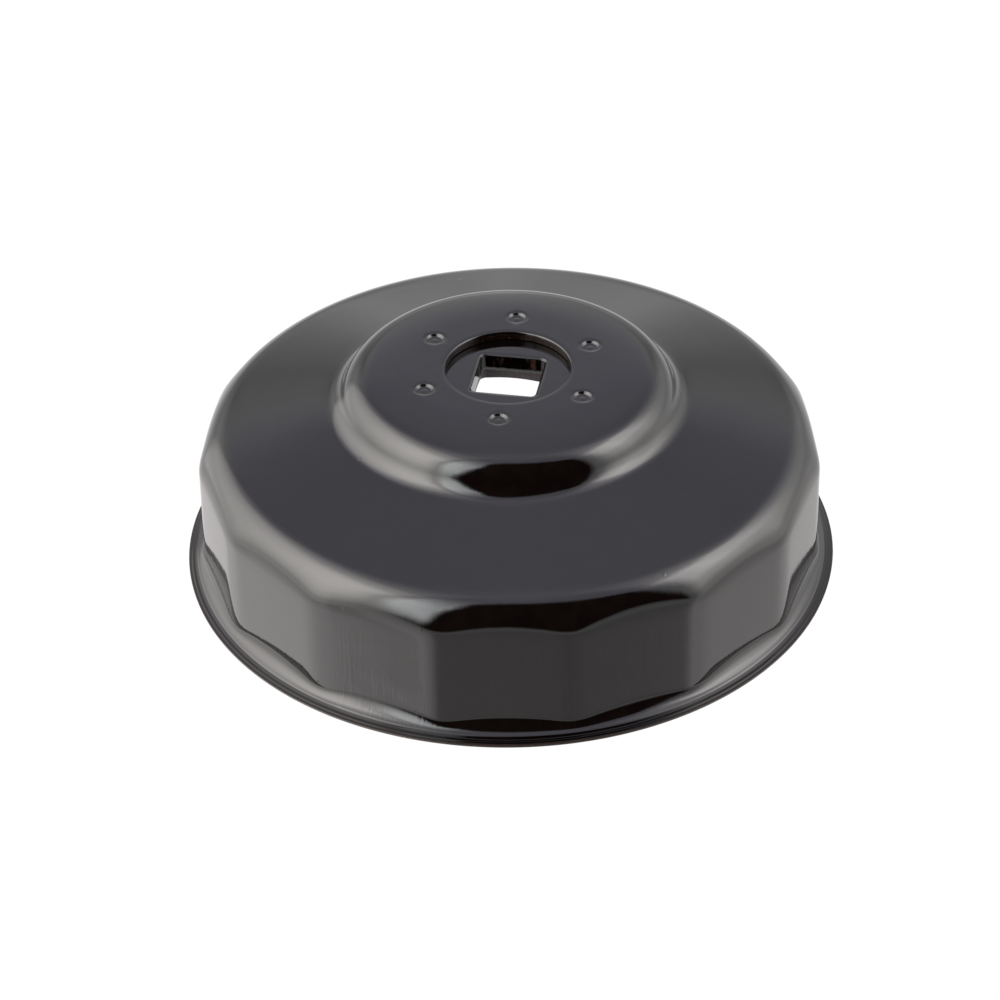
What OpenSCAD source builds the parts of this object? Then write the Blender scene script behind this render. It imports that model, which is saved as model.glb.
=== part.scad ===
// Cap type oil filter wrench: a pressed steel cup with fifteen flats that fits
// over the end of a spin-on filter, and a drive plate projection-welded under
// its raised hub. Millimetres. Origin at the centre of the rim's underside,
// +Z up through the hub, drive square lined up with X and Y.

/* [Cup] */
// Outside diameter of the turned-out rim
rim_d = 100; // [99.5:0.5:104]
// Overall height, rim underside to hub top
height = 33.1; // [31:0.1:36]
// Thickness of the pressed sheet
sheet_t = 1.4; // [1:0.1:1.8]
// Number of flats that grip the filter
flats = 15; // [12:1:18]
// Outside distance across opposite flats, twice the apothem
across_flats = 93.5; // [92:0.1:94]
// Outside diameter over the rounded corners between flats
over_corners = 95.3; // [95:0.1:95.8]
// Angle of the first corner from +X
flat_phase = 3.1; // [0:0.1:24]
// Outside radius of the shoulder where the skirt turns into the sloping top
shoulder_r = 6.2; // [4:0.2:7]
// Slope of the conical top between shoulder and hub, degrees
top_slope = 15; // [12:0.2:18]
// Radius of the fillet that turns the skirt out into the rim
flare_r = 2.6; // [1.6:0.1:2.8]
// Thickness of the rim, where the sheet has been drawn thinner
rim_t = 1.1; // [0.9:0.05:1.4]
// Rounding of the rim's sheared upper edge
rim_edge_r = 0.25; // [0.1:0.05:0.4]

/* [Hub] */
// Radius of the flat on top of the hub
hub_flat_r = 20.2; // [19:0.1:22]
// How far the middle of the hub stands above the edge of its top
hub_crown = 0.25; // [0.05:0.05:0.4]
// Outside radius of the hub's upper edge
hub_edge_r = 5.2; // [4:0.1:6]
// Radius of the fillet at the foot of the hub
hub_foot_r = 3.9; // [2:0.1:4.5]
// Steepest part of the hub's side, as an angle from vertical, degrees
hub_side = 22; // [15:1:30]
// Diameter of the round hole in the hub
hub_hole_d = 19; // [17:0.1:21]
// Rounding of the hub hole's upper lip
hub_lip_r = 0.3; // [0.1:0.05:0.5]

/* [Drive plate] */
// Diameter of the drive plate
plate_d = 38; // [35:0.5:39]
// Thickness of the drive plate
plate_t = 4.5; // [3.5:0.1:5]
// Gap the squashed weld projections leave under the hub
plate_gap = 0.05; // [0.02:0.01:0.2]
// Across flats of the drive hole, for a 3/8 inch square drive
drive_af = 9.9; // [9.6:0.05:10.3]
// Corner radius of the drive hole
drive_corner_r = 0.8; // [0.4:0.1:1.2]
// How much wider the torn lower part of the punched hole is, per side
drive_break = 0.12; // [0.05:0.01:0.2]
// Height of that torn lower part
drive_break_h = 1.9; // [1:0.1:2.5]
// Break of the plate's outer edges
plate_chamfer = 0.4; // [0.2:0.1:0.8]

/* [Welds] */
// Number of weld projections
welds = 6; // [4:1:8]
// Diameter of the circle the weld projections stand on
weld_pcd = 27.4; // [26:0.1:29]
// Angle of the first weld from +X
weld_phase = 34; // [0:1:60]
// Diameter of the crater each projection leaves on the hub
crater_d = 2.6; // [2:0.1:3.2]
// Depth of that crater
crater_depth = 0.42; // [0.2:0.02:0.5]
// Diameter of each weld nugget
nugget_d = 2.8; // [2:0.1:3.2]
// How far each nugget reaches into the sheet and into the plate
nugget_reach = 0.45; // [0.3:0.05:0.5]

/* [Hidden] */

// Segments in each arc of a turned profile
dome_steps = 10;
flare_steps = 8;
lip_steps = 4;

// Facets round each full circle
turned_fn = 180;
crater_fn = 64;
nugget_fn = 48;
corner_fn = 32;

// How far cutting solids run past the faces they cut
overcut = 1;

rim_r = rim_d / 2;
cup_r = over_corners / 2;
apothem = across_flats / 2;
hub_hole_r = hub_hole_d / 2;
hub_under = height - sheet_t;

// Underside of the solid dome, buried in the thickness of the rim
dome_low = 0.5;

// Outward normals of the outside profile, as angles above horizontal
cone_normal = 90 - top_slope;
side_normal = hub_side;

function dir(angle) = [cos(angle), sin(angle)];

// Points of an arc, both ends included. A negative radius gives the far side.
function arc(centre, radius, from, to, steps) =
    [for (i = [0 : steps]) centre + radius * dir(from + (to - from) * i / steps)];

// Arc centres of the outside profile, as [radius, z]. The foot arc is tangent to
// the hub edge arc, and the shoulder arc is tangent to the cone through its end.
edge_centre = [hub_flat_r, height - hub_crown - hub_edge_r];
foot_centre = edge_centre + (hub_edge_r + hub_foot_r) * dir(side_normal);
cone_top = foot_centre - hub_foot_r * dir(cone_normal);
cone_foot_r = cup_r - shoulder_r + shoulder_r * cos(cone_normal);
cone_foot_z = cone_top[1] - (cone_foot_r - cone_top[0]) * tan(top_slope);
shoulder_centre = [cup_r - shoulder_r, cone_foot_z - shoulder_r * sin(cone_normal)];

// Radius inside which the hub's top is flat: the craters and a margin round
// them. Outside it the top falls away by hub_crown.
table_margin = 0.2;
hub_table_r = weld_pcd / 2 + crater_d / 2 + table_margin;

// Sphere that cuts a crater of the given diameter and depth
crater_sphere_r = (pow(crater_d / 2, 2) + pow(crater_depth, 2)) / (2 * crater_depth);

plate_r = plate_d / 2;
plate_top = hub_under - plate_gap;
plate_low = plate_top - plate_t;

// Clearance all round a nugget in its pockets
nugget_clear = 0.02;
pocket_d = nugget_d + 2 * nugget_clear;
pocket_reach = nugget_reach + nugget_clear;

// Profile of the dome at a depth inside the outer skin, from its underside out
// to the skirt and over to the axis. The foot arc curves the other way, so its
// radius grows with depth. Only the outer skin is crowned: the hub's underside
// is flat, so there the edge arc is raised by hub_crown.
function dome_profile(depth, low) = concat(
    [[0, low], [cup_r - depth, low]],
    arc(shoulder_centre, shoulder_r - depth, 0, cone_normal, dome_steps),
    arc(foot_centre, -(hub_foot_r + depth), cone_normal, side_normal, dome_steps),
    arc(edge_centre + [0, depth > 0 ? hub_crown : 0],
        hub_edge_r - depth, side_normal, 90, dome_steps),
    depth > 0 ? [] : [[hub_table_r, height]],
    [[0, height - depth]]);

// Turns a profile of [radius, z] points about Z.
module turned(profile) {
    rotate_extrude($fn = turned_fn) polygon(profile);
}

// Regular polygon given by its apothem, turned to the cup's flats.
module flats_outline(inner_r) {
    rotate(flat_phase) circle(r = inner_r / cos(180 / flats), $fn = flats);
}

// Solid dome at a depth inside the outer skin: the round cup cut back to its flats.
module dome(depth, low) {
    intersection() {
        turned(dome_profile(depth, low));
        translate([0, 0, low - overcut])
            linear_extrude(height - low + 2 * overcut) flats_outline(apothem - depth);
    }
}

// Rim, and the concave fillet from the flats down to its top.
module flare_outside() {
    turned(concat(
        [[0, 0], [rim_r, 0]],
        arc([rim_r - rim_edge_r, rim_t - rim_edge_r], rim_edge_r, 0, 90, lip_steps),
        arc([apothem + flare_r, rim_t + flare_r], flare_r, 270, 180, flare_steps),
        [[0, rim_t + flare_r]]));
}

// Flare on the inside: the mouth that leads the filter in.
module flare_inside() {
    mouth_r = flare_r + sheet_t;
    centre = [apothem + flare_r, mouth_r];
    turned(concat(
        [[0, -overcut], [centre[0], -overcut]],
        arc(centre, mouth_r, 270, 180, flare_steps),
        [[0, mouth_r]]));
}

// Round hole through the hub.
module hub_hole() {
    translate([0, 0, hub_under - overcut])
        cylinder(d = hub_hole_d, h = sheet_t + 2 * overcut, $fn = turned_fn);
}

// Rolled-over upper lip of the punched hub hole.
module hub_lip() {
    lip_r = hub_hole_r + hub_lip_r;
    lip_z = height - hub_lip_r;
    turned(concat(
        [[0, lip_z]],
        arc([lip_r, lip_z], hub_lip_r, 180, 90, lip_steps),
        [[lip_r, height + overcut], [0, height + overcut]]));
}

// Places its child at every weld, at height z.
module at_welds(z) {
    for (i = [0 : welds - 1])
        rotate(weld_phase + i * 360 / welds)
            translate([weld_pcd / 2, 0, z]) children();
}

// Craters that the weld projections leave on top of the hub.
module craters() {
    at_welds(height - crater_depth + crater_sphere_r)
        sphere(r = crater_sphere_r, $fn = crater_fn);
}

// Round pegs on the weld circle, for the nuggets and the pockets they fill.
module weld_pegs(diameter, low, length) {
    at_welds(low) cylinder(d = diameter, h = length, $fn = nugget_fn);
}

// Pressed cup: skirt with flats, shoulder, cone, raised hub and turned-out rim.
module cap_shell() {
    color([0.11, 0.11, 0.12])
    difference() {
        union() {
            dome(0, dome_low);
            flare_outside();
        }
        dome(sheet_t, -overcut);
        flare_inside();
        hub_hole();
        hub_lip();
        craters();
        weld_pegs(pocket_d, hub_under - overcut, overcut + pocket_reach);
    }
}

// Square with rounded corners.
module rounded_square(width, radius) {
    corner = width / 2 - radius;
    square([width - 2 * radius, width], center = true);
    square([width, width - 2 * radius], center = true);
    for (x = [-1, 1], y = [-1, 1])
        translate([x * corner, y * corner]) circle(r = radius, $fn = corner_fn);
}

// Drive square cut up from below the plate, widened by the given amount per side.
module drive_cut(depth, widen) {
    translate([0, 0, plate_low - overcut])
        linear_extrude(depth + overcut)
            rounded_square(drive_af + 2 * widen, drive_corner_r + widen);
}

// Thick round plate with the punched drive square. The upper part of the hole
// is burnished to size and the lower part has torn slightly wider.
module drive_plate() {
    face_r = plate_r - plate_chamfer;
    color([0.16, 0.16, 0.17])
    difference() {
        turned([
            [0, plate_low], [face_r, plate_low], [plate_r, plate_low + plate_chamfer],
            [plate_r, plate_top - plate_chamfer], [face_r, plate_top], [0, plate_top]]);
        drive_cut(plate_t + overcut, 0);
        drive_cut(drive_break_h, drive_break);
        weld_pegs(pocket_d, plate_top - pocket_reach, overcut + nugget_reach);
    }
}

// Short round slugs of fused steel that bridge the gap from plate to sheet.
module weld_nuggets() {
    color([0.30, 0.29, 0.28])
    weld_pegs(nugget_d, plate_top - nugget_reach, 2 * nugget_reach + plate_gap);
}

cap_shell();
drive_plate();
weld_nuggets();
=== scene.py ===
import math

import bpy
import numpy as np
from mathutils import Matrix, Vector, noise


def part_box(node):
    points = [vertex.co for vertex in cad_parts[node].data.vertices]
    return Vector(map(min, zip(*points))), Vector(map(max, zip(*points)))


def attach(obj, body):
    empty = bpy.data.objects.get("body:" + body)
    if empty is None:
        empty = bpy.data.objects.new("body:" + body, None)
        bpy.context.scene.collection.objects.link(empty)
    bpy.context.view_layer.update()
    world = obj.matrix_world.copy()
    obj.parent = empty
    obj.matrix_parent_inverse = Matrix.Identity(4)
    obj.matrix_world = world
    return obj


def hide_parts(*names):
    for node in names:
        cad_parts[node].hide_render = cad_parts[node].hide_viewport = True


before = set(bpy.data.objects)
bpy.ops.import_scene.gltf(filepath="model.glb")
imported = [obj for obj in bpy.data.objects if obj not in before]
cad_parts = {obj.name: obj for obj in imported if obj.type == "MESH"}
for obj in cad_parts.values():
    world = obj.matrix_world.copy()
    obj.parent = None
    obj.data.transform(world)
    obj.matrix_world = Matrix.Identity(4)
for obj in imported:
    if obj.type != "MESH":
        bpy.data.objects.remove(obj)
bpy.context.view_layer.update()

# Cap type oil filter wrench. The CAD nodes stay in MuJoCo; here each one is stood for by a finer mesh of the same
# form, built as closed grids: pressed cup, punched drive plate and the fused weld slugs. Metres, CAD frame.

MM = 0.001
D2R = math.pi / 180

# --------------------------------------------------------------------------------------------------------------
# sizes, taken from the frame where the frame has them
# --------------------------------------------------------------------------------------------------------------
shell_lo, shell_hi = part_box("cap_shell")
plate_lo, plate_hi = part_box("drive_plate")
weld_lo, weld_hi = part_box("weld_nuggets")

RIM_R = max(shell_hi.x, shell_hi.y) / MM
H = shell_hi.z / MM
T = 1.4                                   # sheet
N_FLATS = 15
AP = 46.75                                # apothem of the flats, outside
PHASE = 3.1                               # a corner between two flats
CORNER = 3.8                              # half length of a corner's soft curve, along the outline
ROUND_R, FADE = 47.08, 50.0               # the round that flats and corners fade to, up the shoulder
RHO = 6.3                                 # shoulder radius
ROLL_R, ROLL_Z, FLARE_END = 48.45, 1.17, 63.0   # where the flare stops turning and the sheared edge starts to roll over
BACK_LIFT = 0.28                          # the shoulder stands a little higher at the back, as the pressing sprang
MOUTH_R = 49.70
WAVE = 0.022
RT, RE, RF, SIDE, SLOPE = 20.2, 5.2, 4.2, 22.0, 15.0
CROWN, CROWN_R, CROWN_TILT = 0.26, 13.0, 5.0   # the hub's top falls away outside this radius
HOLE, LIP = 9.5, 0.3
WELDS, WELD_R, WELD_A0 = 6, 13.7, 34.0
PLATE_R = plate_hi.x / MM
PLATE_TOP, PLATE_LOW = plate_hi.z / MM, plate_lo.z / MM
DRIVE = 9.9 / 2
VIEW_TURN = 10.5                          # the camera stands this far round from looking along +Y


def smooth01(x):
    x = np.clip(x, 0.0, 1.0)
    return x * x * (3 - 2 * x)


def arc_pts(c, rad, a, b, n):
    """n + 1 angles from a to b as (r, z) pairs about c; c and rad may be arrays over azimuth."""
    ang = np.linspace(a, b, n + 1) * D2R
    return [(c[0] + rad * math.cos(t), c[1] + rad * math.sin(t)) for t in ang]


def fbm(p, scale, seed, octaves=3):
    """Sum of Perlin noise at points p (mm), one value each."""
    out = np.zeros(len(p))
    for i, q in enumerate(p):
        v, amp, s = 0.0, 1.0, scale
        for _ in range(octaves):
            v += amp * noise.noise(Vector((q[0] / s + seed, q[1] / s - seed, q[2] / s + 2 * seed)))
            amp *= 0.5
            s *= 0.5
        out[i] = v
    return out


def grid_mesh(name, pts, attrs=None):
    """Closed torus-like grid: pts[i, j] wraps round both ways. One quad per cell."""
    ni, nj = pts.shape[:2]
    verts = pts.reshape(-1, 3) * MM
    i = np.arange(ni)[:, None]
    j = np.arange(nj)[None, :]
    a = i * nj + j
    b = ((i + 1) % ni) * nj + j
    c = ((i + 1) % ni) * nj + (j + 1) % nj
    d = i * nj + (j + 1) % nj
    quads = np.stack([a, d, c, b], -1).reshape(-1, 4)      # wound so that the faces look outwards
    me = bpy.data.meshes.new(name)
    me.from_pydata(verts.tolist(), [], quads.tolist())
    for key, values in (attrs or {}).items():
        at = me.attributes.new(key, "FLOAT", "POINT")
        at.data.foreach_set("value", np.ascontiguousarray(values, np.float32).ravel())
    me.polygons.foreach_set("use_smooth", [True] * len(me.polygons))
    me.update()
    ob = bpy.data.objects.new(name, me)
    bpy.context.scene.collection.objects.link(ob)
    return ob


# --------------------------------------------------------------------------------------------------------------
# pressed cup
# --------------------------------------------------------------------------------------------------------------
def outline_table():
    """Half a flat, from its middle to the corner, as (azimuth, radius): slightly crowned, with a soft corner. The
    curvature rises like a cosine toward the corner and the run is as long as 12 degrees of azimuth needs."""
    half = math.pi / N_FLATS
    crown = 1.2 * D2R

    def run(length):
        s = np.linspace(0.0, length, 1201)
        back = length - s
        bump = np.where(back < CORNER, (1 + np.cos(np.pi * np.minimum(back, CORNER) / CORNER)) / 2, 0.0)
        k = crown / length + (half - crown) * 2 / CORNER * bump
        psi = np.concatenate([[0], np.cumsum((k[1:] + k[:-1]) / 2 * np.diff(s))])
        dx = -np.sin(psi)
        dy = np.cos(psi)
        x = AP + np.concatenate([[0], np.cumsum((dx[1:] + dx[:-1]) / 2 * np.diff(s))])
        y = np.concatenate([[0], np.cumsum((dy[1:] + dy[:-1]) / 2 * np.diff(s))])
        return np.arctan2(y, x), np.hypot(x, y)

    a, b = 8.0, 12.0
    for _ in range(50):
        m = (a + b) / 2
        if run(m)[0][-1] < half:
            a = m
        else:
            b = m
    ang, rad = run((a + b) / 2)
    return ang / D2R, rad


OUTLINE = outline_table()


def plan_radius(theta):
    """Radius of the skirt at azimuth theta, degrees."""
    half = 180.0 / N_FLATS
    return np.interp(np.abs((theta - PHASE) % (2 * half) - half), OUTLINE[0], OUTLINE[1])


def azimuths():
    """Columns of the cup's grid: closer together round the corners, and closer still where a crater lies."""
    u = np.concatenate([np.linspace(-4.8, 4.8, 17), np.linspace(6.0, 18.0, 11)])
    base = np.sort(np.concatenate([PHASE + 24.0 * k + u for k in range(N_FLATS)]) % 360.0)
    out = []
    for a, b in zip(base, np.append(base[1:], base[0] + 360.0)):
        out.append(a)
        mid = (a + b) / 2
        near = min(abs((mid - (WELD_A0 + 60 * k) + 180) % 360 - 180) for k in range(WELDS))
        if near < 6.4:
            n = 3 if b - a > 0.9 else 2
            out.extend(a + (b - a) * i / n for i in range(1, n))
    return np.array(out)


def build_shell():
    th = azimuths()
    cn = 90.0 - SLOPE
    ce = (RT, H - CROWN - RE)
    cf = (ce[0] + (RE + RF) * math.cos(SIDE * D2R), ce[1] + (RE + RF) * math.sin(SIDE * D2R))
    ct = (cf[0] - RF * math.cos(cn * D2R), cf[1] - RF * math.sin(cn * D2R))
    r0 = plan_radius(th)
    dev = r0 - ROUND_R                                    # how far the flats and corners stand off the round
    rs = ROUND_R - RHO
    zc = ct[1] + (ct[0] - rs) * math.tan(SLOPE * D2R) - RHO / math.cos(SLOPE * D2R)
    one = np.ones_like(th)
    rows, tags = [], []

    def add(points, tag):
        for r, z in points:
            rows.append((r * one, z * one))
            tags.append(tag)

    def fade_to_round(t):
        return 0.5 * (1 + math.cos(math.pi * min(t / FADE, 1.0)))

    # outside, from the hub hole outwards and down
    add(arc_pts((HOLE + LIP, H - LIP), LIP, 176, 90, 4), "lip")
    for r in [10.4, 11.2, 11.9] + list(np.arange(12.0, 15.5, 0.12)) + [15.8, 16.6, 17.6, 18.6, 19.6]:
        fall = max(r - CROWN_R, 0.0) / (RT + RE * math.sin(CROWN_TILT * D2R) - CROWN_R)
        add([(r, H - (CROWN + RE * (1 - math.cos(CROWN_TILT * D2R))) * fall ** 2.4)], "hub")
    add(arc_pts(ce, RE, 90 - CROWN_TILT, SIDE, 14), "hub")
    add([(cf[0] - RF * math.cos(t * D2R), cf[1] - RF * math.sin(t * D2R))
         for t in np.linspace(SIDE, cn, 12)[1:]], "foot")
    end_r = rs + RHO * math.cos(cn * D2R)
    end_z = zc + RHO * math.sin(cn * D2R)
    for s in np.linspace(0, 1, 9)[1:-1]:
        add([(ct[0] + (end_r - ct[0]) * s, ct[1] + (end_z - ct[1]) * s)], "cone")
    for t in np.linspace(cn, 0, 18):
        rows.append((rs + RHO * math.cos(t * D2R) + dev * fade_to_round(t), (zc + RHO * math.sin(t * D2R)) * one))
        tags.append("shoulder")
    # the flare starts with a tighter bend, then turns on an even arc out to ROLL_R
    turn = np.linspace(0, FLARE_END, 141) * D2R
    bend = 0.15 + 0.85 * smooth01(turn / (22 * D2R))
    step = (bend[1:] + bend[:-1]) / 2 * np.diff(turn)
    mid = (turn[1:] + turn[:-1]) / 2
    out_r = np.concatenate([[0], np.cumsum(step * np.sin(mid))])
    out_z = np.concatenate([[0], np.cumsum(step * np.cos(mid))])
    size = (ROLL_R - r0) / out_r[-1]
    z_fl = ROLL_Z + size * out_z[-1]
    for s in np.linspace(0, 1, 10)[1:-1]:
        rows.append((r0, zc + (z_fl - zc) * s))
        tags.append("skirt")
    for k in np.unique(np.round(np.concatenate([np.linspace(0, 50, 9), np.linspace(50, 140, 11)]))).astype(int):
        rows.append((r0 + size * out_r[k], z_fl - size * out_z[k]))
        tags.append("flare")
    # sheared edge: rolled over above, a narrow ledge, then the cut face
    add([(48.56, 1.10), (48.64, 1.045)], "flange")
    add([(48.70, 1.00), (48.79, 0.925), (48.90, 0.825), (48.98, 0.755)], "roll")
    add([(49.03, 0.728), (49.07, 0.720), (49.34, 0.700)], "flange")
    add([(49.38, 0.688), (49.45, 0.630), (49.58, 0.510), (49.62, 0.480)], "roll")
    add([(49.66, 0.466), (49.93, 0.435), (49.98, 0.415), (RIM_R, 0.375), (RIM_R - 0.005, 0.32), (RIM_R - 0.02, 0.27),
         (RIM_R - 0.035, 0.21)], "cut")
    add(arc_pts((RIM_R - 0.22, 0.17), 0.17, 0, -90, 4), "cut")
    # underside and inside
    for t in np.linspace(90, 0, 9) * D2R:
        rows.append((MOUTH_R - (MOUTH_R - r0 + T) * math.cos(t), z_fl * (1 - math.sin(t))))
        tags.append("mouth")
    z_in = z_fl
    for s in np.linspace(0, 1, 6)[1:-1]:
        rows.append((r0 - T, z_in + (zc - z_in) * s))
        tags.append("inner")
    for t in np.linspace(0, cn, 10):
        rows.append((rs + (RHO - T) * math.cos(t * D2R) + dev * fade_to_round(t),
                     (zc + (RHO - T) * math.sin(t * D2R)) * one))
        tags.append("inner")
    i_end = (rs + (RHO - T) * math.cos(cn * D2R), zc + (RHO - T) * math.sin(cn * D2R))
    i_top = (cf[0] - (RF + T) * math.cos(cn * D2R), cf[1] - (RF + T) * math.sin(cn * D2R))
    for s in np.linspace(0, 1, 5)[1:-1]:
        add([(i_end[0] + (i_top[0] - i_end[0]) * s, i_end[1] + (i_top[1] - i_end[1]) * s)], "inner")
    add([(cf[0] - (RF + T) * math.cos(t * D2R), cf[1] - (RF + T) * math.sin(t * D2R))
         for t in np.linspace(cn, SIDE, 8)], "inner")
    add(arc_pts((ce[0], ce[1] + CROWN), RE - T, SIDE, 90, 8)[1:], "inner")
    for r in [18.0, 16.4, 15.75, 15.4, 15.05, 14.3, 13.7, 13.1, 12.35, 12.0, 11.65, 11.0]:
        add([(r, H - T)], "pocket")
    add(arc_pts((HOLE + 0.12, H - T + 0.12), 0.12, 270, 185, 3), "wall")
    add([(HOLE + 0.012, H - T + 0.35), (HOLE, H - T + 0.65), (HOLE, H - T + 0.9)], "wall")

    R = np.stack([r * one for r, _ in rows], 1)
    Z = np.stack([z * one for _, z in rows], 1)
    nt, nm = R.shape
    tags = np.array(tags)

    # craters pressed in over the weld projections, steep walled, and the pockets of the nuggets underneath
    X = R * np.cos(th * D2R)[:, None]
    Y = R * np.sin(th * D2R)[:, None]
    drop = np.zeros_like(R)
    pit = np.zeros_like(R)
    for k in range(WELDS):
        a = (WELD_A0 + 60 * k) * D2R
        d = np.hypot(X - WELD_R * math.cos(a), Y - WELD_R * math.sin(a))
        dish = 0.05 * smooth01((1.90 - d) / 0.45)
        pit = np.maximum(pit, np.where((tags == "hub")[None, :], smooth01((1.75 - d) / 0.4), 0.0))
        bowl = 0.44 * smooth01((1.50 - d) / 0.52) - 0.03 * smooth01((0.6 - d) / 0.5)
        drop -= np.where((tags == "hub")[None, :], dish + bowl, 0.0)
        drop += np.where((tags == "pocket")[None, :], 0.50 * smooth01((1.95 - d) / 0.40), 0.0)
    Z = Z + drop

    # the sheet is never quite true: slow waves over cone, shoulder and skirt
    wav = np.isin(tags, ["cone", "shoulder", "skirt", "foot"])
    idx = np.where(wav)[0]
    s = (np.arange(nm) - idx[0]) / max(1, idx[-1] - idx[0])
    fade = np.where(wav, smooth01(np.minimum(s, 1 - s) / 0.12), 0.0)
    rise = np.zeros(nm)
    cone = np.where(tags == "cone")[0]
    rise[cone] = np.arange(1, len(cone) + 1) / (len(cone) + 1)
    rise[tags == "shoulder"] = 1.0
    skirt = np.where(tags == "skirt")[0]
    rise[skirt] = 1 - np.arange(1, len(skirt) + 1) / (len(skirt) + 1)
    back = smooth01((np.cos((th - 90 - VIEW_TURN) * D2R) + 0.2) / 1.2)
    Z = Z + BACK_LIFT * back[:, None] * rise[None, :]
    P = np.stack([X, Y, Z], -1)
    w = fbm(P[:, idx].reshape(-1, 3), 17.0, 3.3, 2).reshape(nt, len(idx)) * WAVE
    dr = np.gradient(R.mean(0))
    dz = np.gradient(Z.mean(0))
    ln = np.hypot(dr, dz) + 1e-9
    nr, nz = np.abs(dz / ln), np.abs(dr / ln)             # outward normal over that run
    for c, j in enumerate(idx):
        R[:, j] += (w[:, c] - 0.6 * WAVE) * nr[j] * fade[j]
        Z[:, j] += (w[:, c] - 0.6 * WAVE) * nz[j] * fade[j]

    # the sheared rim is a little uneven along its torn band
    ang = th * D2R
    ragged = 0.012 * np.sin(ang * 37 + 1.3) + 0.010 * np.sin(ang * 61 + 0.4) + 0.008 * np.sin(ang * 97)
    for j in np.where(tags == "cut")[0]:
        if 0.3 < Z[:, j].mean() < 0.35:
            Z[:, j] += ragged
            R[:, j] -= np.abs(ragged) * 0.6
    P = np.stack([R * np.cos(ang)[:, None], R * np.sin(ang)[:, None], Z], -1)

    def mark(*names):
        return np.tile(np.isin(tags, names).astype(float), (nt, 1))

    att = {"cut": mark("cut"), "lip": mark("lip"), "wall": mark("wall"), "inside": mark("inner", "pocket"),
           "skirt": mark("skirt", "flare", "mouth"), "pit": pit, "roll": mark("roll")}
    return grid_mesh("pressed_cup", P, att)


# --------------------------------------------------------------------------------------------------------------
# drive plate: thick disc with a punched square
# --------------------------------------------------------------------------------------------------------------
def square_outline(half, rc, n_side, n_corner):
    """Points of a rounded square with their outward directions, anticlockwise."""
    pts, nrm = [], []
    for k in range(4):
        a0 = 90.0 * k
        c, s = math.cos(a0 * D2R), math.sin(a0 * D2R)
        for t in np.linspace(-(half - rc), half - rc, n_side):
            pts.append((c * half - s * t, s * half + c * t))
            nrm.append((c, s))
        cx, cy = half - rc, half - rc
        for t in np.linspace(0, 90, n_corner + 2)[1:-1]:
            x, y = cx + rc * math.cos(t * D2R), cy + rc * math.sin(t * D2R)
            nx, ny = math.cos(t * D2R), math.sin(t * D2R)
            pts.append((c * x - s * y, s * x + c * y))
            nrm.append((c * nx - s * ny, s * nx + c * ny))
    return np.array(pts), np.array(nrm)


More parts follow.
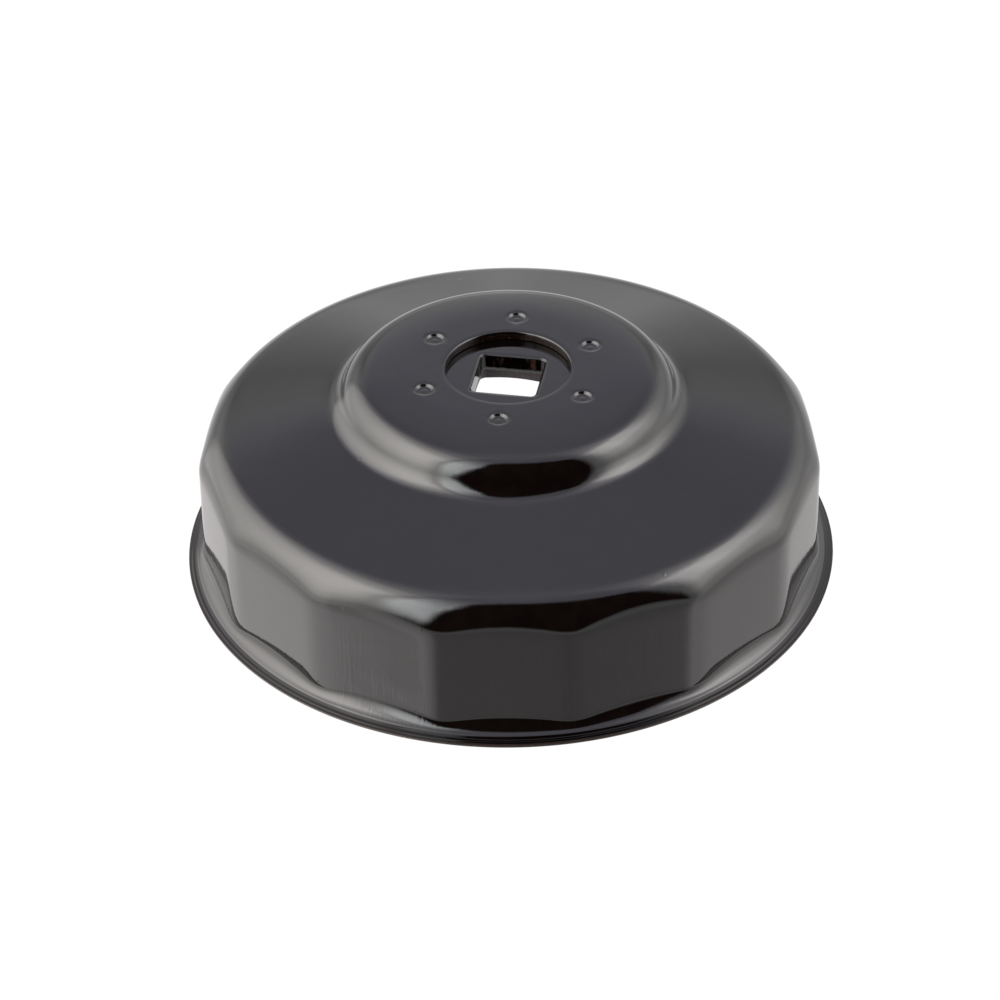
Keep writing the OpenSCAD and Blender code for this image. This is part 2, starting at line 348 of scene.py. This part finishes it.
def build_plate():
    sq, nn = square_outline(DRIVE, 0.85, 56, 10)
    n = len(sq)
    ang = np.arctan2(sq[:, 1], sq[:, 0])
    ring = np.stack([np.cos(ang), np.sin(ang)], 1)
    rsq = np.hypot(sq[:, 0], sq[:, 1])
    top, low, R = PLATE_TOP, PLATE_LOW, PLATE_R
    rows, tags = [], []

    def wall(off, z, tag):
        rows.append(np.column_stack([sq + nn * np.reshape(off, (-1, 1)) * np.ones((n, 1)), z * np.ones(n)]))
        tags.append(tag)

    def disc(s, z, tag):
        p = sq * (1 - s) + ring * R * s
        rows.append(np.column_stack([p, z * np.ones(n)]))
        tags.append(tag)

    def outer(r, z, tag):
        rows.append(np.column_stack([ring * r, z * np.ones(n)]))
        tags.append(tag)

    side = np.clip(1 - (np.minimum(np.abs(sq[:, 0]), np.abs(sq[:, 1])) / (DRIVE - 0.85)) ** 2, 0, 1)
    k = np.arange(n)
    fine = np.array([noise.noise(Vector((x * 7.0, y * 7.0, 0.3))) for x, y in sq])
    slow = np.array([noise.noise(Vector((x * 1.3, y * 1.3, 5.3))) for x, y in sq])
    grain = np.array([noise.noise(Vector((x * 2.6, y * 2.6, 9.1))) for x, y in sq])

    # die roll of the punched hole: the top edge is drawn in
    roll_w, roll_h = 0.34, 0.22
    for t in np.linspace(0, 90, 7):
        rows.append(np.column_stack([sq + nn * (roll_w * math.sin(t * D2R)),
                                     np.full(n, top - roll_h * (1 - math.sin((90 - (90 - t)) * D2R)))]))
        tags.append("edge")
    # outwards over the top
    for s in (0.06, 0.13, 0.22, 0.33, 0.45, 0.57, 0.69, 0.80, 0.90):
        disc(s, top, "top")
    for t in np.linspace(0, 90, 6):
        outer(R - 0.4 + 0.4 * math.sin(t * D2R), top - 0.4 + 0.4 * math.cos(t * D2R), "rim")
    for z in (top - 1.2, top - 2.1, low + 1.4, low + 0.8):
        outer(R, z, "rim")
    for t in np.linspace(0, 90, 6):
        outer(R - 0.4 + 0.4 * math.cos(t * D2R), low + 0.4 - 0.4 * math.sin(t * D2R), "rim")
    for s in (0.90, 0.78, 0.64, 0.50, 0.36, 0.24, 0.14, 0.07):
        disc(s, low, "low")
    # torn lower part of the hole, then the burnished upper part
    arch = 0.34 * side
    tear = 1.9 + 0.10 * slow + 0.05 * fine
    for f in (0.0, 0.04, 0.12, 0.24, 0.38, 0.52, 0.66, 0.80, 0.92):
        zz = low + arch * (1 - f) + tear * f
        wide = 0.12 + 0.10 * (1 - f) ** 2 + 0.035 * fine * (1 - abs(2 * f - 1) ** 3) + 0.02 * grain
        if f == 0.0:
            wide = wide + 0.08
        rows.append(np.column_stack([sq + nn * wide[:, None], zz]))
        tags.append("torn")
    for f, o in ((1.0, 0.07), (1.035, 0.0)):
        rows.append(np.column_stack([sq + nn * o, low + tear * f]))
        tags.append("step")
    burn_top = top - roll_h - 0.10
    zs = np.linspace(0, 1, 9)[1:]
    for f in zs:
        z0 = low + tear * 1.06
        gall = 0.020 * grain * math.sin(math.pi * f)
        rows.append(np.column_stack([sq + nn * gall[:, None], z0 + (burn_top - z0) * f]))
        tags.append("burnished")

    P = np.stack(rows, 1)
    tags = np.array(tags)
    # pockets of the nuggets in the top face
    for kk in range(WELDS):
        a = (WELD_A0 + 60 * kk) * D2R
        d = np.hypot(P[..., 0] - WELD_R * math.cos(a), P[..., 1] - WELD_R * math.sin(a))
        face = (tags == "top")[None, :]
        P[..., 2] -= np.where(face, 0.50 * smooth01((1.9 - d) / 0.4), 0.0)
    att = {
        "torn": np.tile(np.isin(tags, ["torn"]).astype(float), (n, 1)),
        "edge": np.tile(np.isin(tags, ["edge", "step"]).astype(float), (n, 1)),
        "burnished": np.tile(np.isin(tags, ["burnished"]).astype(float), (n, 1)),
    }
    return grid_mesh("punched_drive_plate", P, att)


# --------------------------------------------------------------------------------------------------------------
# weld nuggets: fused slugs between sheet and plate
# --------------------------------------------------------------------------------------------------------------
def build_nuggets():
    zc = (weld_lo.z + weld_hi.z) / 2 / MM
    hh = (weld_hi.z - weld_lo.z) / 2 / MM
    nu, nv = 36, 16
    verts, faces = [], []
    for k in range(WELDS):
        a = (WELD_A0 + 60 * k) * D2R
        cx, cy = WELD_R * math.cos(a), WELD_R * math.sin(a)
        base = len(verts)
        verts.append((cx * MM, cy * MM, (zc + hh) * MM))
        for i in range(1, nv):
            phi = math.pi * i / nv
            for j in range(nu):
                t = 2 * math.pi * j / nu
                sp = math.sin(phi)
                r = 1.38 * sp ** 0.75
                r *= 1 - 0.03 * (0.5 + 0.5 * noise.noise(Vector((math.cos(t) * 1.7 + k * 3, math.sin(t) * 1.7, phi))))
                verts.append(((cx + r * math.cos(t)) * MM, (cy + r * math.sin(t)) * MM,
                              (zc + hh * math.cos(phi)) * MM))
        verts.append((cx * MM, cy * MM, (zc - hh) * MM))
        last = len(verts) - 1
        for j in range(nu):
            faces.append((base, base + 1 + j, base + 1 + (j + 1) % nu))
            faces.append((last, last - nu + (j + 1) % nu, last - nu + j))
        for i in range(nv - 2):
            for j in range(nu):
                p = base + 1 + i * nu + j
                q = base + 1 + i * nu + (j + 1) % nu
                faces.append((p, p + nu, q + nu, q))
    me = bpy.data.meshes.new("weld_slugs")
    me.from_pydata(verts, [], faces)
    me.polygons.foreach_set("use_smooth", [True] * len(me.polygons))
    me.update()
    ob = bpy.data.objects.new("weld_slugs", me)
    bpy.context.scene.collection.objects.link(ob)
    return ob


# --------------------------------------------------------------------------------------------------------------
# materials
# --------------------------------------------------------------------------------------------------------------
class Nodes:
    """Short helper for node trees."""

    def __init__(self, tree):
        self.t = tree
        tree.nodes.clear()

    def new(self, kind, **props):
        n = self.t.nodes.new(kind)
        for k, v in props.items():
            setattr(n, k, v)
        return n

    def link(self, a, b):
        self.t.links.new(a, b)

    def put(self, socket, value):
        if isinstance(value, bpy.types.NodeSocket):
            self.link(value, socket)
        else:
            socket.default_value = value

    def math(self, op, a, b=None, c=None, clamp=False):
        n = self.new("ShaderNodeMath", operation=op, use_clamp=clamp)
        for s, v in zip(n.inputs, (a, b, c)):
            if v is not None:
                self.put(s, v)
        return n.outputs[0]

    def step(self, x, lo, hi, to0=0.0, to1=1.0, kind="SMOOTHSTEP"):
        n = self.new("ShaderNodeMapRange", interpolation_type=kind, clamp=True)
        self.put(n.inputs["Value"], x)
        n.inputs["From Min"].default_value = lo
        n.inputs["From Max"].default_value = hi
        n.inputs["To Min"].default_value = to0
        n.inputs["To Max"].default_value = to1
        return n.outputs["Result"]

    def noise(self, vec, scale, detail=2.0, rough=0.5):
        n = self.new("ShaderNodeTexNoise")
        self.put(n.inputs["Vector"], vec)
        n.inputs["Scale"].default_value = scale
        n.inputs["Detail"].default_value = detail
        n.inputs["Roughness"].default_value = rough
        return n.outputs["Fac"]

    def attr(self, name):
        n = self.new("ShaderNodeAttribute", attribute_name=name)
        return n.outputs["Fac"]

    def mixc(self, f, a, b):
        n = self.new("ShaderNodeMix", data_type="RGBA")
        self.put(n.inputs[0], f)
        for s, v in ((n.inputs[6], a), (n.inputs[7], b)):
            self.put(s, v if isinstance(v, bpy.types.NodeSocket) else (*v, 1.0))
        return n.outputs[2]

    def mixf(self, f, a, b):
        n = self.new("ShaderNodeMix", data_type="FLOAT")
        self.put(n.inputs[0], f)
        self.put(n.inputs[2], a)
        self.put(n.inputs[3], b)
        return n.outputs[0]

    def bump(self, height, distance, strength=1.0, normal=None):
        n = self.new("ShaderNodeBump")
        self.put(n.inputs["Height"], height)
        n.inputs["Distance"].default_value = distance
        n.inputs["Strength"].default_value = strength
        if normal is not None:
            self.link(normal, n.inputs["Normal"])
        return n.outputs["Normal"]


def new_material(name):
    m = bpy.data.materials.new(name)
    m.use_nodes = True
    return m, Nodes(m.node_tree)


def coat_material(name, plate=False):
    """Thin glossy black dip coat over steel: near black under a clear glossy skin, with faint orange peel, draw
    lines on the skirt, pinheads of dust, and brown where it is thin over the sheared edges."""
    m, g = new_material(name)
    pos = g.new("ShaderNodeTexCoord").outputs["Object"]
    xyz = g.new("ShaderNodeSeparateXYZ")
    g.link(pos, xyz.inputs[0])
    ang = g.math("ARCTAN2", xyz.outputs["Y"], xyz.outputs["X"])
    # fine relief
    peel = g.noise(pos, 900.0, 2.0, 0.45)
    slow = g.noise(pos, 160.0, 2.0, 0.5)
    nrm = g.bump(peel, 0.0000040)
    nrm = g.bump(slow, 0.0000100, 1.0, nrm)
    if not plate:
        # draw lines run up the skirt: noise over azimuth only, nearly constant in height
        cmb = g.new("ShaderNodeCombineXYZ")
        g.put(cmb.inputs[0], g.math("MULTIPLY", ang, 1.0))
        g.put(cmb.inputs[1], g.math("MULTIPLY", xyz.outputs["Z"], 0.9))
        g.put(cmb.inputs[2], 0.37)
        lines = g.noise(cmb.outputs[0], 95.0, 3.0, 0.65)
        patch = g.step(g.noise(pos, 26.0, 1.0, 0.5), 0.46, 0.66)
        on = g.math("MULTIPLY", g.attr("skirt"), g.math("ADD", 0.15, g.math("MULTIPLY", patch, 0.85)))
        nrm = g.bump(g.math("MULTIPLY", lines, on), 0.0000090, 1.0, nrm)
        rub = g.math("MULTIPLY", g.step(lines, 0.52, 0.72), on)
        near = g.math("ABSOLUTE", g.math("ADD", ang, 104.0 * D2R))
        low = g.math("MULTIPLY", g.step(near, 13 * D2R, 7 * D2R), g.step(xyz.outputs["Z"], 0.0165, 0.0110))
        low = g.math("MULTIPLY", low, g.math("MULTIPLY", g.attr("skirt"), g.step(g.noise(pos, 140.0, 1.0, 0.5), 0.38, 0.60)))
        nrm = g.bump(g.math("MULTIPLY", lines, low), 0.0000220, 1.0, nrm)
    # very fine grain of the sprayed skin
    nrm = g.bump(g.noise(pos, 3600.0, 1.0, 0.5), 0.0000011, 1.0, nrm)
    # pinheads of dust under the skin
    vor = g.new("ShaderNodeTexVoronoi", feature="F1")
    g.link(pos, vor.inputs["Vector"])
    vor.inputs["Scale"].default_value = 420.0
    pin = g.step(vor.outputs["Distance"], 0.16, 0.05)
    col = g.new("ShaderNodeSeparateColor")
    g.link(vor.outputs["Color"], col.inputs[0])
    rare = g.step(col.outputs[0], 0.955, 0.965)
    pin = g.math("MULTIPLY", pin, rare)
    nrm = g.bump(pin, 0.0000120, 1.0, nrm)

    edge = g.attr("edge") if plate else g.attr("cut")
    torn = g.attr("torn") if plate else g.attr("wall")
    gritty = g.noise(pos, 2600.0, 3.0, 0.6)
    mott = g.noise(pos, 330.0, 3.0, 0.6)
    base = g.mixc(g.step(mott, 0.35, 0.7), (0.0009, 0.0005, 0.0004), (0.0017, 0.0010, 0.0008))
    if plate:
        base = g.mixc(g.math("MULTIPLY", torn, 0.85), base, g.mixc(mott, (0.020, 0.014, 0.013), (0.075, 0.060, 0.058)))
    else:
        base = g.mixc(g.math("MULTIPLY", edge, 0.9), base, g.mixc(mott, (0.005, 0.003, 0.0022), (0.019, 0.0115, 0.0085)))
        base = g.mixc(g.math("MULTIPLY", rub, 0.25), base, (0.010, 0.009, 0.0085))
        base = g.mixc(g.math("MULTIPLY", torn, 0.9), base, g.mixc(g.step(gritty, 0.5, 0.75), (0.006, 0.003, 0.0022),
                                                                  (0.030, 0.017, 0.012)))
    bs = g.new("ShaderNodeBsdfPrincipled")
    bs.inputs["IOR"].default_value = 1.5
    if plate:
        dull = g.math("MULTIPLY", g.attr("burnished"), 0.2)
        streak = g.new("ShaderNodeMapping")
        g.link(pos, streak.inputs["Vector"])
        streak.inputs["Scale"].default_value = (1.0, 1.0, 0.30)
        brown = g.step(g.noise(streak.outputs[0], 900.0, 3.0, 0.6), 0.50, 0.72)
        base = g.mixc(g.math("MULTIPLY", g.attr("burnished"), brown), base, (0.040, 0.019, 0.013))
    else:
        dull = g.math("ADD", g.math("MULTIPLY", edge, 0.35), g.math("MULTIPLY", torn, 0.62))
        dull = g.math("ADD", dull, g.math("MULTIPLY", g.attr("roll"), 0.72), clamp=True)
    g.link(base, bs.inputs["Base Color"])
    g.link(g.math("MULTIPLY", g.math("SUBTRACT", 1.0, dull), 0.5), bs.inputs["Specular IOR Level"])
    rough = g.mixf(slow, 0.045, 0.068)
    if not plate:
        rough = g.mixf(g.math("MULTIPLY", g.attr("pit"), 0.30), rough, 0.42)
    hard = g.math("ADD", g.math("MULTIPLY", edge, 0.75 if not plate else 0.10),
                  g.math("MULTIPLY", torn, 0.8 if plate else 0.05), clamp=True)
    rough = g.mixf(hard, rough, g.mixf(gritty, 0.30, 0.46))
    g.link(rough, bs.inputs["Roughness"])
    nrm = g.bump(g.math("MULTIPLY", gritty, hard), 0.00003, 0.6, nrm)
    g.link(nrm, bs.inputs["Normal"])
    out = g.new("ShaderNodeOutputMaterial")
    g.link(bs.outputs[0], out.inputs[0])
    return m


def weld_material():
    """Fused steel with a heat-tinted skin."""
    m, g = new_material("fused_weld_steel")
    pos = g.new("ShaderNodeTexCoord").outputs["Object"]
    n1 = g.noise(pos, 700.0, 4.0, 0.6)
    n2 = g.noise(pos, 2400.0, 2.0, 0.5)
    bs = g.new("ShaderNodeBsdfPrincipled")
    bs.inputs["Metallic"].default_value = 0.85
    g.link(g.mixc(n1, (0.10, 0.075, 0.06), (0.24, 0.21, 0.20)), bs.inputs["Base Color"])
    g.link(g.mixf(n2, 0.35, 0.6), bs.inputs["Roughness"])
    g.link(g.bump(n2, 0.00002, 0.6), bs.inputs["Normal"])
    out = g.new("ShaderNodeOutputMaterial")
    g.link(bs.outputs[0], out.inputs[0])
    return m


# --------------------------------------------------------------------------------------------------------------
# studio: white tent, two lit panels on the left with a seam between them, one on the right, and an open front
# --------------------------------------------------------------------------------------------------------------
def ramp(g, x, stops):
    """Piecewise linear curve of x; stops are (x, y)."""
    x0, x1 = stops[0][0], stops[-1][0]
    v0, v1 = min(v for _, v in stops), max(v for _, v in stops)
    fac = g.math("DIVIDE", g.math("SUBTRACT", x, x0), x1 - x0, clamp=True)
    n = g.new("ShaderNodeValToRGB")
    n.color_ramp.interpolation = "LINEAR"
    e = n.color_ramp.elements
    while len(e) < len(stops):
        e.new(0.5)
    for el, (px, v) in zip(e, stops):
        el.position = (px - x0) / (x1 - x0)
    for el, (px, v) in zip(e, stops):
        c = (v - v0) / (v1 - v0)
        el.color = (c, c, c, 1)
    g.link(fac, n.inputs[0])
    return g.math("ADD", g.math("MULTIPLY", n.outputs[0], v1 - v0), v0)


def build_world(cam):
    """The tent stays where it is to the camera, so that every side is looked at in the same light."""
    w = bpy.data.worlds.new("studio_tent")
    bpy.context.scene.world = w
    w.use_nodes = True
    g = Nodes(w.node_tree)
    d = g.new("ShaderNodeTexCoord").outputs["Generated"]
    rot = g.new("ShaderNodeVectorRotate", rotation_type="Z_AXIS")
    g.link(d, rot.inputs["Vector"])
    turned = g.new("ShaderNodeValue")
    turned.label = "camera's turn about Z"
    drv = turned.outputs[0].driver_add("default_value").driver
    drv.type = "SUM"
    var = drv.variables.new()
    var.type = "TRANSFORMS"
    var.targets[0].id = cam
    var.targets[0].transform_type = "ROT_Z"
    var.targets[0].transform_space = "WORLD_SPACE"
    g.link(g.math("SUBTRACT", cam.matrix_world.to_euler().z - VIEW_TURN * D2R, turned.outputs[0]), rot.inputs["Angle"])
    xyz = g.new("ShaderNodeSeparateXYZ")
    g.link(rot.outputs[0], xyz.inputs[0])
    # azimuth from the camera's side, + to its right, and elevation, in degrees
    az = g.math("MULTIPLY", g.math("ARCTAN2", xyz.outputs["X"], g.math("MULTIPLY", xyz.outputs["Y"], -1.0)), 180 / math.pi)
    el = g.math("MULTIPLY", g.math("ARCSINE", xyz.outputs["Z"]), 180 / math.pi)
    absaz = g.math("ABSOLUTE", az)

    def mul(*a):
        out = a[0]
        for b in a[1:]:
            out = g.math("MULTIPLY", out, b)
        return out

    def add(a, b):
        return g.math("ADD", a, b)

    def sub(a, b):
        return g.math("SUBTRACT", a, b)

    base = ramp(g, el, BASE_EL)
    behind = mul(ramp(g, absaz, [(0, 0), (158, 0), (170, 1), (180, 1)]),
                 ramp(g, el, [(-90, 0), (5, 0), (9, .60), (14, .42), (18, .32), (25, .19), (31, .05), (36, 0), (90, 0)]))
    dip = mul(ramp(g, absaz, [(0, 0), (146, 0), (158, 1), (168, 1), (174, .7), (177.5, .35), (180, 0)]),
              ramp(g, el, [(-90, 0), (-2, 0), (5, .8), (10, 1), (20, 1), (27, .15), (30, 0), (90, 0)]))
    base = mul(add(base, behind), sub(1.0, mul(dip, 0.48)))

    # left wall: its front edge leans with height, its top edge falls away toward the back
    azs = sub(az, ramp(g, el, [(-90, 3), (20, 3), (40, 0), (90, 0)]))
    el_l = add(el, ramp(g, az, [(-180, 26), (-144, 26), (-136, 20), (-132, 14), (-128, 11), (-124, 8.5), (-116, 5),
                                (-100, 2), (-84, 0), (180, 0)]))
    left = mul(ramp(g, azs, LEFT_AZ), ramp(g, el_l, LEFT_EL), LEFT_PEAK)
    # second panel, between the seam and the open front
    az2 = sub(az, ramp(g, el, [(-90, -20), (-8, -19), (4, -13), (12, -9.5), (16, -8), (24, -5.5), (36, -3),
                               (44, -1), (52, 2.5), (60, 3), (90, 3)]))
    second = mul(ramp(g, azs, SECOND_AZ), g.step(az2, -19, -31), ramp(g, el, SECOND_EL), SECOND_PEAK)
    # right wall
    el_r = add(el, ramp(g, az, [(-180, 0), (100, 0), (112, 5), (124, 8), (140, 12), (180, 12)]))
    right = mul(ramp(g, az, RIGHT_AZ), ramp(g, el_r, RIGHT_EL), RIGHT_PEAK)
    # open front
    top = ramp(g, az, [(-180, 63), (-30, 63), (-20, 66), (-10, 69.5), (0, 70.5), (20, 68), (36, 63), (48, 57), (180, 50)])
    low = ramp(g, az, [(-180, 0), (22, 0), (32, 2.5), (40, 7), (46, 6.5), (52, 2), (58, 0), (180, 0)])
    azr = sub(az, ramp(g, el, [(-90, 0), (50, 0), (56, -4), (64, -13), (90, -24)]))
    mask = mul(g.step(az2, -31, -22), g.step(azr, 57, 51), g.step(sub(el, top), 5, -5), g.step(sub(el, low), -9, -1))

    def tint(v, c):
        n = g.new("ShaderNodeVectorMath", operation="SCALE")
        n.inputs[0].default_value = c
        g.link(v, n.inputs["Scale"])
        return n.outputs[0]

    def vadd(a, b):
        n = g.new("ShaderNodeVectorMath", operation="ADD")
        g.link(a, n.inputs[0])
        g.link(b, n.inputs[1])
        return n.outputs[0]

    cool = g.step(el, 22, 36)
    tent = vadd(vadd(tint(mul(base, sub(1.0, cool)), (1.065, 1.065, 1.075)), tint(mul(base, cool), (1.027, 1.015, 1.185))),
                vadd(vadd(tint(left, (1.04, 1.0, 0.95)), tint(second, (0.97, 1.0, 0.99))),
                     tint(right, (1.04, 1.0, 0.97))))
    col = g.mixc(mask, tent, (0.055, 0.035, 0.030))
    table = tint(ramp(g, az, TABLE_AZ), (1.03, 0.995, 0.99))
    col = g.mixc(g.step(el, -8, -17), col, table)
    env = g.new("ShaderNodeBackground")
    g.link(col, env.inputs["Color"])
    env.inputs["Strength"].default_value = 1.0
    white = g.new("ShaderNodeBackground")
    white.inputs["Color"].default_value = (1, 1, 1, 1)
    white.inputs["Strength"].default_value = 1.02
    lp = g.new("ShaderNodeLightPath")
    mix = g.new("ShaderNodeMixShader")
    g.link(lp.outputs["Is Camera Ray"], mix.inputs[0])
    g.link(env.outputs[0], mix.inputs[1])
    g.link(white.outputs[0], mix.inputs[2])
    out = g.new("ShaderNodeOutputWorld")
    g.link(mix.outputs[0], out.inputs[0])
    w.cycles.sampling_method = "MANUAL"
    w.cycles.sample_map_resolution = 1024
    return w


# radiance of the tent by direction: (degrees, value)
BASE_EL = [(-90, .9), (-30, .9), (-8, .95), (-3, .84), (3, .80), (8, 1.0), (12, 1.12), (20, 1.12), (28, .96), (36, .80),
           (46, .86), (56, .98), (66, 1.05), (72, 1.13), (80, 1.26), (90, 1.35)]
LEFT_PEAK = 7.7
LEFT_AZ = [(-180, 0), (-147, 0), (-142.5, .17), (-140, .20), (-132, .32), (-124, .44), (-116, .54), (-108, .66),
           (-100, .74), (-92, .85), (-84, .93), (-76, .99), (-68, 1.0), (-64, .98), (-60, .92), (-56, .74),
           (-53, .52), (-50, .35), (-47, .15), (-44, 0), (180, 0)]
LEFT_EL = [(-90, .1), (-36, .15), (-20, .25), (-8, .32), (-4, .33), (0, .42), (4, .53), (8, .60), (12, .65),
           (16, .72), (20, .80), (24, .86), (28, .90), (32, .98), (36, 1), (46, 1), (48, .96), (52, .86), (56, .63),
           (60, .48), (64, .37), (68, .19), (72, .13), (76, .08), (80, .04), (90, 0)]
SECOND_PEAK = 7.0
SECOND_AZ = [(-180, 0), (-53, 0), (-51.5, .05), (-46, .95), (-44, 1.0), (-40, .92), (-36, .78), (-32, .66),
             (-28, .60), (-20, .55), (0, .5), (180, 0)]
SECOND_EL = [(-90, 0), (-16, 0), (-8, .10), (-4, .15), (0, .20), (4, .30), (8, .38), (12, .48), (16, .62), (20, .70),
             (24, .82), (28, .90), (32, .97), (36, 1), (46, 1), (52, .85), (56, .65), (60, .46), (64, .30),
             (68, .15), (72, .05), (76, 0), (90, 0)]
RIGHT_PEAK = 7.2
RIGHT_AZ = [(-180, 0), (53, 0), (56, .04), (60, .11), (64, .32), (68, .58), (72, .80), (76, .86), (80, .95),
            (84, 1.0), (88, .95), (92, .88), (96, .82), (100, .79), (104, .73), (108, .62), (112, .50), (116, .38),
            (120, .28), (124, .19), (132, .09), (140, .03), (148, 0), (180, 0)]
RIGHT_EL = [(-90, .02), (-30, .03), (-16, .08), (-8, .15), (-4, .20), (0, .23), (4, .28), (8, .34), (12, .42),
            (16, .50), (20, .56), (24, .64), (28, .78), (32, .93), (36, 1), (46, 1), (49, .93), (52, .58), (56, .32),
            (60, .22), (64, .15), (68, .10), (72, .06), (80, .02), (90, 0)]
TABLE_AZ = [(-180, 1.0), (-152, 1.08), (-137, 1.25), (-115, 2.1), (-103, 2.22), (-88, 2.36), (-57, 2.45),
            (-52, 1.80), (-50.8, 1.75), (-49, 2.15), (-46, 1.95), (-42, 1.72), (-36, 1.42), (-32, 1.10), (-28, .90),
            (-24, .80), (-3, .79), (13, .70), (47, .77), (52, .90), (58, 1.35), (63, 1.66), (80, 1.45), (97, 1.32),
            (113, 1.30), (130, 1.05), (147, .88), (165, .90), (180, 1.0)]


def disc_mesh(name, r_out, r_in, z, n=96):
    verts, faces = [], []
    for i in range(n):
        a = 2 * math.pi * i / n
        verts.append((r_out * math.cos(a), r_out * math.sin(a), z))
    if r_in > 0:
        for i in range(n):
            a = 2 * math.pi * i / n
            verts.append((r_in * math.cos(a), r_in * math.sin(a), z))
        for i in range(n):
            j = (i + 1) % n
            faces.append((i, j, n + j, n + i))
    else:
        faces.append(tuple(range(n)))
    me = bpy.data.meshes.new(name)
    me.from_pydata(verts, [], faces)
    me.update()
    ob = bpy.data.objects.new(name, me)
    bpy.context.scene.collection.objects.link(ob)
    return ob


def build_floor(cam):
    """Pale floor. It shows white from above and is left out from below, so that the underside can be looked at. The
    disc under the cup keeps the light out of the cup, except when the camera is under the floor, and in reflections it
    is a painted glow."""
    z = -0.00006
    m, g = new_material("pale_floor")
    em = g.new("ShaderNodeEmission")
    em.inputs["Color"].default_value = (1, 1, 1, 1)
    em.inputs["Strength"].default_value = 1.02
    tr = g.new("ShaderNodeBsdfTransparent")
    geo = g.new("ShaderNodeNewGeometry")
    mix = g.new("ShaderNodeMixShader")
    g.link(geo.outputs["Backfacing"], mix.inputs[0])
    g.link(em.outputs[0], mix.inputs[1])
    g.link(tr.outputs[0], mix.inputs[2])
    out = g.new("ShaderNodeOutputMaterial")
    g.link(mix.outputs[0], out.inputs[0])
    floor = disc_mesh("floor", 4.0, 0.0493, z)
    floor.data.materials.append(m)
    for flag in ("visible_diffuse", "visible_glossy", "visible_transmission", "visible_volume_scatter",
                 "visible_shadow"):
        setattr(floor, flag, False)

    m2, g = new_material("pale_floor_under_cup")
    dif = g.new("ShaderNodeBsdfDiffuse")
    dif.inputs["Color"].default_value = (0.8, 0.8, 0.8, 1)
    em = g.new("ShaderNodeEmission")
    em.inputs["Strength"].default_value = 1.02
    lp = g.new("ShaderNodeLightPath")
    a = g.new("ShaderNodeMixShader")
    g.link(lp.outputs["Is Camera Ray"], a.inputs[0])
    g.link(dif.outputs[0], a.inputs[1])
    g.link(em.outputs[0], a.inputs[2])
    # painted reflection: for glossy rays the disc glows behind and close in front of the square hole and is dark
    # further forward, so the hole's walls mirror painted light
    xyz = g.new("ShaderNodeSeparateXYZ")
    g.link(g.new("ShaderNodeTexCoord").outputs["Object"], xyz.inputs[0])
    near = g.step(xyz.outputs["Y"], -0.0356, -0.0340)
    # painted glow, seen only in reflections: a pool of light on the floor that no lamp casts
    lit = g.new("ShaderNodeEmission")
    g.link(g.math("MULTIPLY", near, 0.95), lit.inputs["Strength"])
    c = g.new("ShaderNodeMixShader")
    g.link(lp.outputs["Is Glossy Ray"], c.inputs[0])
    g.link(a.outputs[0], c.inputs[1])
    g.link(lit.outputs[0], c.inputs[2])
    a = c
    tr = g.new("ShaderNodeBsdfTransparent")
    below = g.new("ShaderNodeValue")
    below.label = "camera under the floor"
    drv = below.outputs[0].driver_add("default_value").driver
    drv.type = "SUM"
    var = drv.variables.new()
    var.type = "TRANSFORMS"
    var.targets[0].id = cam
    var.targets[0].transform_type = "LOC_Z"
    var.targets[0].transform_space = "WORLD_SPACE"
    under = g.math("LESS_THAN", below.outputs[0], 0.0)
    b = g.new("ShaderNodeMixShader")
    g.link(under, b.inputs[0])
    g.link(a.outputs[0], b.inputs[1])
    g.link(tr.outputs[0], b.inputs[2])
    out = g.new("ShaderNodeOutputMaterial")
    g.link(b.outputs[0], out.inputs[0])
    patch = disc_mesh("floor_under_cup", 0.0493, 0.0, z)
    patch.data.materials.append(m2)
    return floor, patch


def build_camera():
    """The photograph's viewing angle: 35.9 degrees down, long lens, a degree of roll."""
    e, roll = 35.91 * D2R, -1.03 * D2R
    fwd = Vector((0, math.cos(e), -math.sin(e)))
    right = Vector((1, 0, 0))
    up = Vector((0, math.sin(e), math.cos(e)))
    c = (-1.555 * right + 6.74 * up - 592.55 * fwd) * MM
    rx = math.cos(roll) * right + math.sin(roll) * up
    ry = -math.sin(roll) * right + math.cos(roll) * up
    turn = Matrix.Rotation(VIEW_TURN * D2R, 4, "Z")
    rot = Matrix((rx, ry, -fwd)).transposed().to_4x4()
    data = bpy.data.cameras.new("camera")
    data.sensor_width = 36.0
    data.lens = 3805.0 / 1000.0 * 36.0
    data.clip_start, data.clip_end = 0.01, 50.0
    cam = bpy.data.objects.new("camera", data)
    bpy.context.scene.collection.objects.link(cam)
    cam.matrix_world = turn @ Matrix.Translation(c) @ rot
    bpy.context.scene.camera = cam
    return cam


# --------------------------------------------------------------------------------------------------------------
shell = build_shell()
shell.data.materials.append(coat_material("black_dip_coat"))
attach(shell, "root")
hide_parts("cap_shell")

plate = build_plate()
plate.data.materials.append(coat_material("black_dip_coat_plate", plate=True))
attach(plate, "root")
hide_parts("drive_plate")

slugs = build_nuggets()
slugs.data.materials.append(weld_material())
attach(slugs, "root")
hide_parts("weld_nuggets")

camera = build_camera()
build_world(camera)
build_floor(camera)
bpy.context.scene.view_settings.view_transform = "Standard"
bpy.context.scene.view_settings.look = "None"

bpy.context.view_layer.update()
